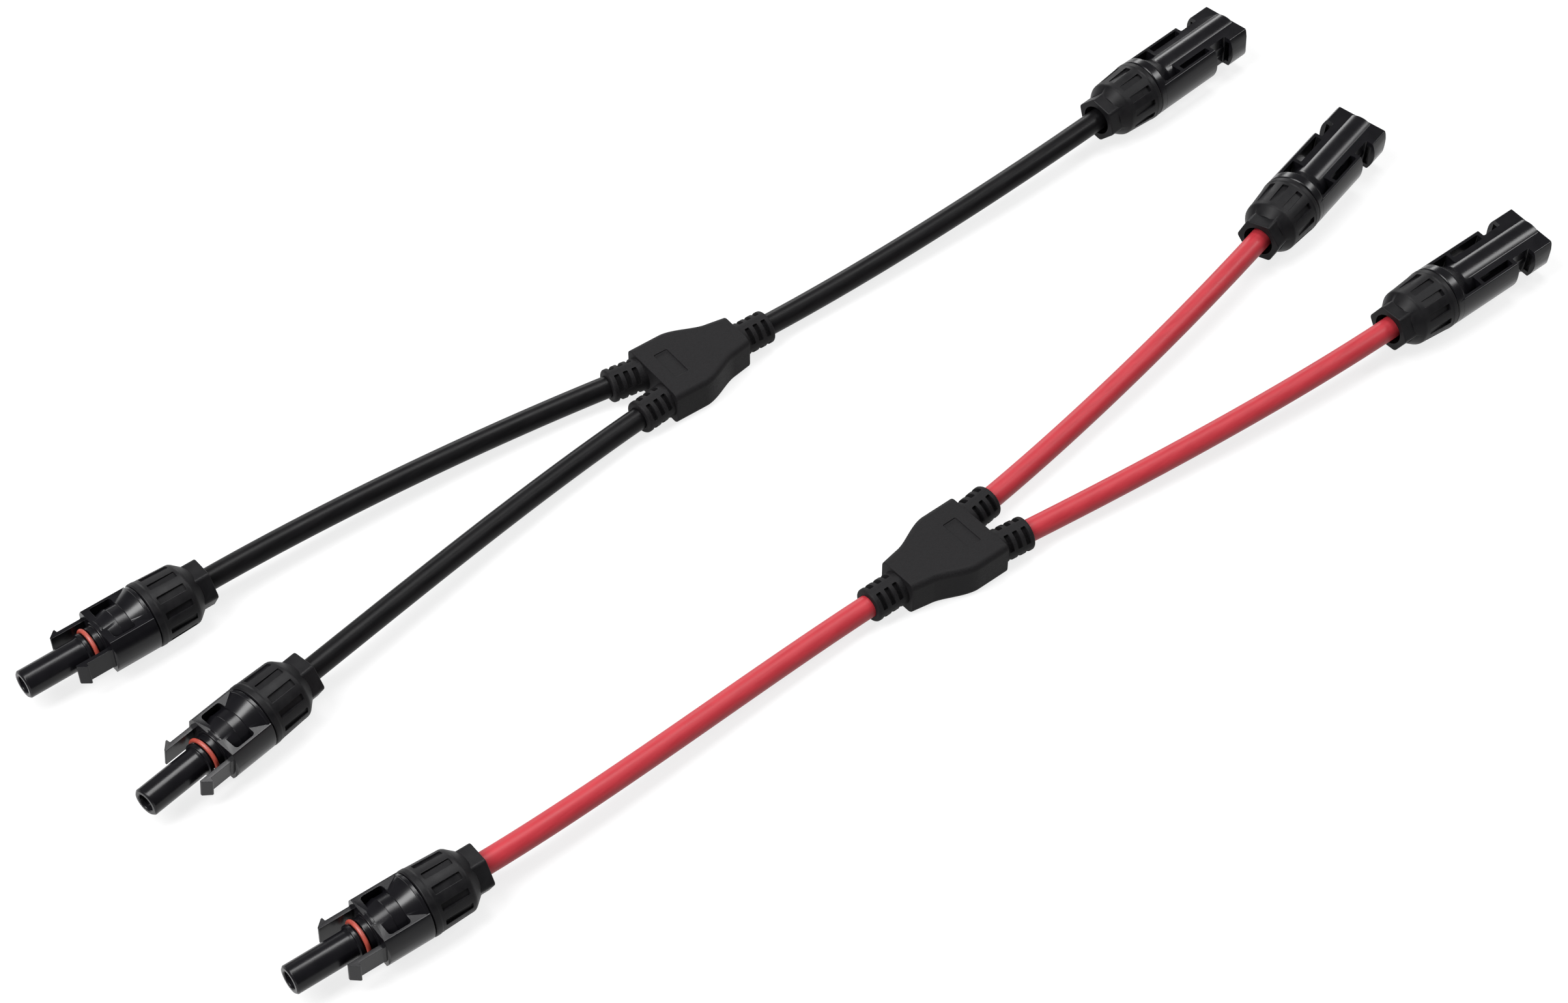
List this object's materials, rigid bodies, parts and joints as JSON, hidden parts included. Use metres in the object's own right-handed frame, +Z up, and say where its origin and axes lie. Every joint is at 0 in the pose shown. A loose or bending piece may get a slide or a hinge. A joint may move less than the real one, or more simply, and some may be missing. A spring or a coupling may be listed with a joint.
{
  "type": "solar branch connector pair",
  "caption": "Matched pair of solar Y branch cables, black and red, with latching and socket cable connectors, screwed cable glands and moulded Y joints.",
  "frame": {"origin": "on the surface the pair lies on, under the middle of the pair", "axes": "+X along the cables, towards the black socket connector, +Z up"},
  "size_m": [0.4252, 0.1823, 0.0187],
  "materials": {
    "housing_plastic": "glossy near-black polyamide, moulded smooth",
    "nut_plastic": "semi-matte black polyamide with a fine moulded grain",
    "mould_rubber": "matte charcoal overmould with a fine grain",
    "black_jacket": "satin black cross-linked polymer",
    "red_jacket": "satin red cross-linked polymer",
    "o_ring_rubber": "satin terracotta silicone",
    "seal_rubber": "dull black rubber",
    "cage_plastic": "black polyamide",
    "tinned_contact": "bright tin-plated copper alloy",
    "tinned_copper": "stranded tinned copper"
  },
  "bodies": {
    "black_branch": {"black_y_mould": "mould_rubber", "black_splice": "tinned_copper", "black_latch_a_housing": "housing_plastic", "black_latch_a_o_ring": "o_ring_rubber", "black_latch_a_sleeve_contact": "tinned_contact", "black_latch_b_housing": "housing_plastic", "black_latch_b_o_ring": "o_ring_rubber", "black_latch_b_sleeve_contact": "tinned_contact", "black_socket_housing": "housing_plastic", "black_socket_pin_contact": "tinned_contact", "black_socket_contact_clip": "tinned_contact", "black_single_cable": "black_jacket", "black_single_conductor": "tinned_copper", "black_a_cable": "black_jacket", "black_a_conductor": "tinned_copper", "black_b_cable": "black_jacket", "black_b_conductor": "tinned_copper"},
    "red_branch": {"red_y_mould": "mould_rubber", "red_splice": "tinned_copper", "red_latch_housing": "housing_plastic", "red_latch_o_ring": "o_ring_rubber", "red_latch_sleeve_contact": "tinned_contact", "red_socket_a_housing": "housing_plastic", "red_socket_a_pin_contact": "tinned_contact", "red_socket_a_contact_clip": "tinned_contact", "red_socket_b_housing": "housing_plastic", "red_socket_b_pin_contact": "tinned_contact", "red_socket_b_contact_clip": "tinned_contact", "red_single_cable": "red_jacket", "red_single_conductor": "tinned_copper", "red_a_cable": "red_jacket", "red_a_conductor": "tinned_copper", "red_b_cable": "red_jacket", "red_b_conductor": "tinned_copper"},
    "black_latch_a_arm_left": {"black_latch_a_arm_left": "housing_plastic"},
    "black_latch_a_arm_right": {"black_latch_a_arm_right": "housing_plastic"},
    "black_latch_a_gland": {"black_latch_a_clamp_cage": "cage_plastic", "black_latch_a_cable_seal": "seal_rubber"},
    "black_latch_a_nut": {"black_latch_a_cap_nut": "nut_plastic"},
    "black_latch_b_arm_left": {"black_latch_b_arm_left": "housing_plastic"},
    "black_latch_b_arm_right": {"black_latch_b_arm_right": "housing_plastic"},
    "black_latch_b_gland": {"black_latch_b_clamp_cage": "cage_plastic", "black_latch_b_cable_seal": "seal_rubber"},
    "black_latch_b_nut": {"black_latch_b_cap_nut": "nut_plastic"},
    "black_socket_gland": {"black_socket_clamp_cage": "cage_plastic", "black_socket_cable_seal": "seal_rubber"},
    "black_socket_nut": {"black_socket_cap_nut": "nut_plastic"},
    "red_latch_arm_left": {"red_latch_arm_left": "housing_plastic"},
    "red_latch_arm_right": {"red_latch_arm_right": "housing_plastic"},
    "red_latch_gland": {"red_latch_clamp_cage": "cage_plastic", "red_latch_cable_seal": "seal_rubber"},
    "red_latch_nut": {"red_latch_cap_nut": "nut_plastic"},
    "red_socket_a_gland": {"red_socket_a_clamp_cage": "cage_plastic", "red_socket_a_cable_seal": "seal_rubber"},
    "red_socket_a_nut": {"red_socket_a_cap_nut": "nut_plastic"},
    "red_socket_b_gland": {"red_socket_b_clamp_cage": "cage_plastic", "red_socket_b_cable_seal": "seal_rubber"},
    "red_socket_b_nut": {"red_socket_b_cap_nut": "nut_plastic"}
  },
  "joints": [
    {"name": "red_branch_lift", "type": "slide", "parent": "black_branch", "child": "red_branch", "axis": [0, 0, 1], "range_m": [0, 0.06]},
    {"name": "black_latch_a_left_arm_press", "type": "hinge", "parent": "black_branch", "child": "black_latch_a_arm_left", "pos_m": [-0.18185, 0.07484, 0.00983], "axis": [-0.0057, -0.0695, -0.9976], "range_deg": [0, 8], "stiffness_Nm_per_rad": 0.2},
    {"name": "black_latch_a_right_arm_press", "type": "hinge", "parent": "black_branch", "child": "black_latch_a_arm_right", "pos_m": [-0.18073, 0.08846, 0.00887], "axis": [0.0057, 0.0695, 0.9976], "range_deg": [0, 8], "stiffness_Nm_per_rad": 0.2},
    {"name": "black_latch_a_gland_travel", "type": "slide", "parent": "black_branch", "child": "black_latch_a_gland", "axis": [0.9966, -0.0819, 0], "range_m": [0, 0.006]},
    {"name": "black_latch_a_nut_turn", "type": "hinge", "parent": "black_latch_a_gland", "child": "black_latch_a_nut", "pos_m": [-0.15752, 0.0797, 0.00935], "axis": [0.9966, -0.0819, 0], "range_deg": [0, 1440]},
    {"name": "black_latch_b_left_arm_press", "type": "hinge", "parent": "black_branch", "child": "black_latch_b_arm_left", "pos_m": [-0.18133, 0.02619, 0.0084], "axis": [-0.0114, 0.1387, -0.9903], "range_deg": [0, 8], "stiffness_Nm_per_rad": 0.2},
    {"name": "black_latch_b_right_arm_press", "type": "hinge", "parent": "black_branch", "child": "black_latch_b_arm_right", "pos_m": [-0.18244, 0.03971, 0.0103], "axis": [0.0114, -0.1387, 0.9903], "range_deg": [0, 8], "stiffness_Nm_per_rad": 0.2},
    {"name": "black_latch_b_gland_travel", "type": "slide", "parent": "black_branch", "child": "black_latch_b_gland", "axis": [0.9966, 0.0819, 0], "range_m": [0, 0.006]},
    {"name": "black_latch_b_nut_turn", "type": "hinge", "parent": "black_latch_b_gland", "child": "black_latch_b_nut", "pos_m": [-0.15812, 0.0349, 0.00935], "axis": [0.9966, 0.0819, 0], "range_deg": [0, 1440]},
    {"name": "black_socket_gland_travel", "type": "slide", "parent": "black_branch", "child": "black_socket_gland", "axis": [-1, -0.0052, 0], "range_m": [0, 0.006]},
    {"name": "black_socket_nut_turn", "type": "hinge", "parent": "black_socket_gland", "child": "black_socket_nut", "pos_m": [0.16375, 0.03835, 0.00935], "axis": [-1, -0.0052, 0], "range_deg": [0, 1440]},
    {"name": "red_latch_left_arm_press", "type": "hinge", "parent": "red_branch", "child": "red_latch_arm_left", "pos_m": [-0.19055, -0.04521, 0.00899], "axis": [0.0057, 0.052, -0.9986], "range_deg": [0, 8], "stiffness_Nm_per_rad": 0.2},
    {"name": "red_latch_right_arm_press", "type": "hinge", "parent": "red_branch", "child": "red_latch_arm_right", "pos_m": [-0.18905, -0.03161, 0.00971], "axis": [-0.0057, -0.052, 0.9986], "range_deg": [0, 8], "stiffness_Nm_per_rad": 0.2},
    {"name": "red_latch_gland_travel", "type": "slide", "parent": "red_branch", "child": "red_latch_gland", "axis": [0.994, -0.1097, 0], "range_m": [0, 0.006]},
    {"name": "red_latch_nut_turn", "type": "hinge", "parent": "red_latch_gland", "child": "red_latch_nut", "pos_m": [-0.16609, -0.04103, 0.00935], "axis": [0.994, -0.1097, 0], "range_deg": [0, 1440]},
    {"name": "red_socket_a_gland_travel", "type": "slide", "parent": "red_branch", "child": "red_socket_a_gland", "axis": [-0.9845, -0.1754, 0], "range_m": [0, 0.006]},
    {"name": "red_socket_a_nut_turn", "type": "hinge", "parent": "red_socket_a_gland", "child": "red_socket_a_nut", "pos_m": [0.1591, -0.02749, 0.00935], "axis": [-0.9845, -0.1754, 0], "range_deg": [0, 1440]},
    {"name": "red_socket_b_gland_travel", "type": "slide", "parent": "red_branch", "child": "red_socket_b_gland", "axis": [-0.9977, 0.068, 0], "range_m": [0, 0.006]},
    {"name": "red_socket_b_nut_turn", "type": "hinge", "parent": "red_socket_b_gland", "child": "red_socket_b_nut", "pos_m": [0.15853, -0.07866, 0.00935], "axis": [-0.9977, 0.068, 0], "range_deg": [0, 1440]}
  ],
  "couplings": [
    {"joint": "black_latch_a_nut_turn", "follows": "black_latch_a_gland_travel", "rad_per_m": 4188.8},
    {"joint": "black_latch_b_nut_turn", "follows": "black_latch_b_gland_travel", "rad_per_m": 4188.8},
    {"joint": "black_socket_nut_turn", "follows": "black_socket_gland_travel", "rad_per_m": 4188.8},
    {"joint": "red_latch_nut_turn", "follows": "red_latch_gland_travel", "rad_per_m": 4188.8},
    {"joint": "red_socket_a_nut_turn", "follows": "red_socket_a_gland_travel", "rad_per_m": 4188.8},
    {"joint": "red_socket_b_nut_turn", "follows": "red_socket_b_gland_travel", "rad_per_m": 4188.8}
  ]
}
